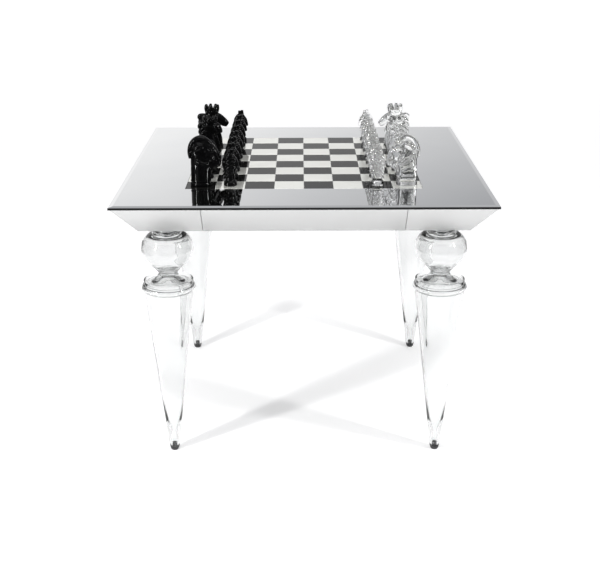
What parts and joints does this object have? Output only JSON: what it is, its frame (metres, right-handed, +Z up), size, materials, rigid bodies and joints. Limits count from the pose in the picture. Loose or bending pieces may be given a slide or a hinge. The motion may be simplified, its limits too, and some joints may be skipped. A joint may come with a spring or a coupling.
{
  "type": "chess table with pieces",
  "caption": "Square mirrored chess table with an inlaid board, tapered clear glass legs, a shallow drawer and a set of black and clear glass horse-head pieces.",
  "frame": {"origin": "on the floor under the table's centre", "axes": "+Z up, the drawer opens towards -Y, black pieces on the -X side"},
  "size_m": [1, 1, 0.918],
  "materials": {
    "mirror_top": "silvered plate glass, bevelled edge",
    "apron_mirror": "pale silvered panel",
    "dark_tile": "dark warm grey back-painted glass, gloss",
    "light_tile": "cream back-painted glass, gloss",
    "white_board": "white lacquered board",
    "drawer_board": "pale lacquered board",
    "felt": "grey felt",
    "rail_steel": "zinc plated",
    "leg_metal": "polished",
    "foot_rubber": "matt black",
    "leg_glass": "clear blown glass",
    "black_piece_glass": "black polished glass",
    "clear_piece_glass": "clear polished glass"
  },
  "bodies": {
    "table": {"top_mirror": "mirror_top", "dark_squares": "dark_tile", "light_squares": "light_tile", "sub_top": "white_board", "base_panel": "white_board", "leg_blocks": "white_board", "apron_left": "apron_mirror", "apron_right": "apron_mirror", "apron_back": "apron_mirror", "apron_front_left": "apron_mirror", "apron_front_right": "apron_mirror", "drawer_guides": "rail_steel", "leg_mounts": "leg_metal", "leg_feet": "foot_rubber", "leg_bulb_front_left": "leg_glass", "leg_bulb_front_right": "leg_glass", "leg_bulb_back_left": "leg_glass", "leg_bulb_back_right": "leg_glass", "leg_cone_front_left": "leg_glass", "leg_cone_front_right": "leg_glass", "leg_cone_back_left": "leg_glass", "leg_cone_back_right": "leg_glass"},
    "drawer": {"drawer_front": "apron_mirror", "drawer_sides": "drawer_board", "drawer_back": "drawer_board", "drawer_bottom": "drawer_board", "drawer_liner": "felt", "drawer_runners": "rail_steel"},
    "black_rook_front": {"black_rook_front": "black_piece_glass"},
    "black_knight_front": {"black_knight_front": "black_piece_glass"},
    "black_bishop_front": {"black_bishop_front": "black_piece_glass"},
    "black_queen": {"black_queen": "black_piece_glass"},
    "black_king": {"black_king": "black_piece_glass"},
    "black_bishop_back": {"black_bishop_back": "black_piece_glass"},
    "black_knight_back": {"black_knight_back": "black_piece_glass"},
    "black_pawn_1": {"black_pawn_1": "black_piece_glass"},
    "black_pawn_2": {"black_pawn_2": "black_piece_glass"},
    "black_pawn_3": {"black_pawn_3": "black_piece_glass"},
    "black_pawn_4": {"black_pawn_4": "black_piece_glass"},
    "black_pawn_5": {"black_pawn_5": "black_piece_glass"},
    "black_pawn_6": {"black_pawn_6": "black_piece_glass"},
    "black_pawn_7": {"black_pawn_7": "black_piece_glass"},
    "black_pawn_8": {"black_pawn_8": "black_piece_glass"},
    "black_rook_back": {"black_rook_back": "black_piece_glass"},
    "clear_rook_front": {"clear_rook_front": "clear_piece_glass"},
    "clear_knight_front": {"clear_knight_front": "clear_piece_glass"},
    "clear_bishop_front": {"clear_bishop_front": "clear_piece_glass"},
    "clear_queen": {"clear_queen": "clear_piece_glass"},
    "clear_king": {"clear_king": "clear_piece_glass"},
    "clear_bishop_back": {"clear_bishop_back": "clear_piece_glass"},
    "clear_knight_back": {"clear_knight_back": "clear_piece_glass"},
    "clear_pawn_1": {"clear_pawn_1": "clear_piece_glass"},
    "clear_pawn_2": {"clear_pawn_2": "clear_piece_glass"},
    "clear_pawn_3": {"clear_pawn_3": "clear_piece_glass"},
    "clear_pawn_4": {"clear_pawn_4": "clear_piece_glass"},
    "clear_pawn_5": {"clear_pawn_5": "clear_piece_glass"},
    "clear_pawn_6": {"clear_pawn_6": "clear_piece_glass"},
    "clear_pawn_7": {"clear_pawn_7": "clear_piece_glass"},
    "clear_pawn_8": {"clear_pawn_8": "clear_piece_glass"},
    "clear_rook_back": {"clear_rook_back": "clear_piece_glass"}
  },
  "joints": [
    {"name": "drawer_slide", "type": "slide", "parent": "table", "child": "drawer", "axis": [0, -1, 0], "range_m": [0, 0.28]},
    {"name": "black_rook_front_lift", "type": "slide", "parent": "table", "child": "black_rook_front", "axis": [0, 0, 1], "range_m": [0, 0.2]},
    {"name": "black_knight_front_lift", "type": "slide", "parent": "table", "child": "black_knight_front", "axis": [0, 0, 1], "range_m": [0, 0.2]},
    {"name": "black_bishop_front_lift", "type": "slide", "parent": "table", "child": "black_bishop_front", "axis": [0, 0, 1], "range_m": [0, 0.2]},
    {"name": "black_queen_lift", "type": "slide", "parent": "table", "child": "black_queen", "axis": [0, 0, 1], "range_m": [0, 0.2]},
    {"name": "black_king_lift", "type": "slide", "parent": "table", "child": "black_king", "axis": [0, 0, 1], "range_m": [0, 0.2]},
    {"name": "black_bishop_back_lift", "type": "slide", "parent": "table", "child": "black_bishop_back", "axis": [0, 0, 1], "range_m": [0, 0.2]},
    {"name": "black_knight_back_lift", "type": "slide", "parent": "table", "child": "black_knight_back", "axis": [0, 0, 1], "range_m": [0, 0.2]},
    {"name": "black_pawn_1_lift", "type": "slide", "parent": "table", "child": "black_pawn_1", "axis": [0, 0, 1], "range_m": [0, 0.2]},
    {"name": "black_pawn_2_lift", "type": "slide", "parent": "table", "child": "black_pawn_2", "axis": [0, 0, 1], "range_m": [0, 0.2]},
    {"name": "black_pawn_3_lift", "type": "slide", "parent": "table", "child": "black_pawn_3", "axis": [0, 0, 1], "range_m": [0, 0.2]},
    {"name": "black_pawn_4_lift", "type": "slide", "parent": "table", "child": "black_pawn_4", "axis": [0, 0, 1], "range_m": [0, 0.2]},
    {"name": "black_pawn_5_lift", "type": "slide", "parent": "table", "child": "black_pawn_5", "axis": [0, 0, 1], "range_m": [0, 0.2]},
    {"name": "black_pawn_6_lift", "type": "slide", "parent": "table", "child": "black_pawn_6", "axis": [0, 0, 1], "range_m": [0, 0.2]},
    {"name": "black_pawn_7_lift", "type": "slide", "parent": "table", "child": "black_pawn_7", "axis": [0, 0, 1], "range_m": [0, 0.2]},
    {"name": "black_pawn_8_lift", "type": "slide", "parent": "table", "child": "black_pawn_8", "axis": [0, 0, 1], "range_m": [0, 0.2]},
    {"name": "black_rook_back_slide", "type": "slide", "parent": "drawer", "child": "black_rook_back", "axis": [1, 0, 0], "range_m": [0, 0.06]},
    {"name": "clear_rook_front_lift", "type": "slide", "parent": "table", "child": "clear_rook_front", "axis": [0, 0, 1], "range_m": [0, 0.2]},
    {"name": "clear_knight_front_lift", "type": "slide", "parent": "table", "child": "clear_knight_front", "axis": [0, 0, 1], "range_m": [0, 0.2]},
    {"name": "clear_bishop_front_lift", "type": "slide", "parent": "table", "child": "clear_bishop_front", "axis": [0, 0, 1], "range_m": [0, 0.2]},
    {"name": "clear_queen_lift", "type": "slide", "parent": "table", "child": "clear_queen", "axis": [0, 0, 1], "range_m": [0, 0.2]},
    {"name": "clear_king_lift", "type": "slide", "parent": "table", "child": "clear_king", "axis": [0, 0, 1], "range_m": [0, 0.2]},
    {"name": "clear_bishop_back_lift", "type": "slide", "parent": "table", "child": "clear_bishop_back", "axis": [0, 0, 1], "range_m": [0, 0.2]},
    {"name": "clear_knight_back_lift", "type": "slide", "parent": "table", "child": "clear_knight_back", "axis": [0, 0, 1], "range_m": [0, 0.2]},
    {"name": "clear_pawn_1_lift", "type": "slide", "parent": "table", "child": "clear_pawn_1", "axis": [0, 0, 1], "range_m": [0, 0.2]},
    {"name": "clear_pawn_2_lift", "type": "slide", "parent": "table", "child": "clear_pawn_2", "axis": [0, 0, 1], "range_m": [0, 0.2]},
    {"name": "clear_pawn_3_lift", "type": "slide", "parent": "table", "child": "clear_pawn_3", "axis": [0, 0, 1], "range_m": [0, 0.2]},
    {"name": "clear_pawn_4_lift", "type": "slide", "parent": "table", "child": "clear_pawn_4", "axis": [0, 0, 1], "range_m": [0, 0.2]},
    {"name": "clear_pawn_5_lift", "type": "slide", "parent": "table", "child": "clear_pawn_5", "axis": [0, 0, 1], "range_m": [0, 0.2]},
    {"name": "clear_pawn_6_lift", "type": "slide", "parent": "table", "child": "clear_pawn_6", "axis": [0, 0, 1], "range_m": [0, 0.2]},
    {"name": "clear_pawn_7_lift", "type": "slide", "parent": "table", "child": "clear_pawn_7", "axis": [0, 0, 1], "range_m": [0, 0.2]},
    {"name": "clear_pawn_8_lift", "type": "slide", "parent": "table", "child": "clear_pawn_8", "axis": [0, 0, 1], "range_m": [0, 0.2]},
    {"name": "clear_rook_back_slide", "type": "slide", "parent": "drawer", "child": "clear_rook_back", "axis": [1, 0, 0], "range_m": [0, 0.06]}
  ]
}
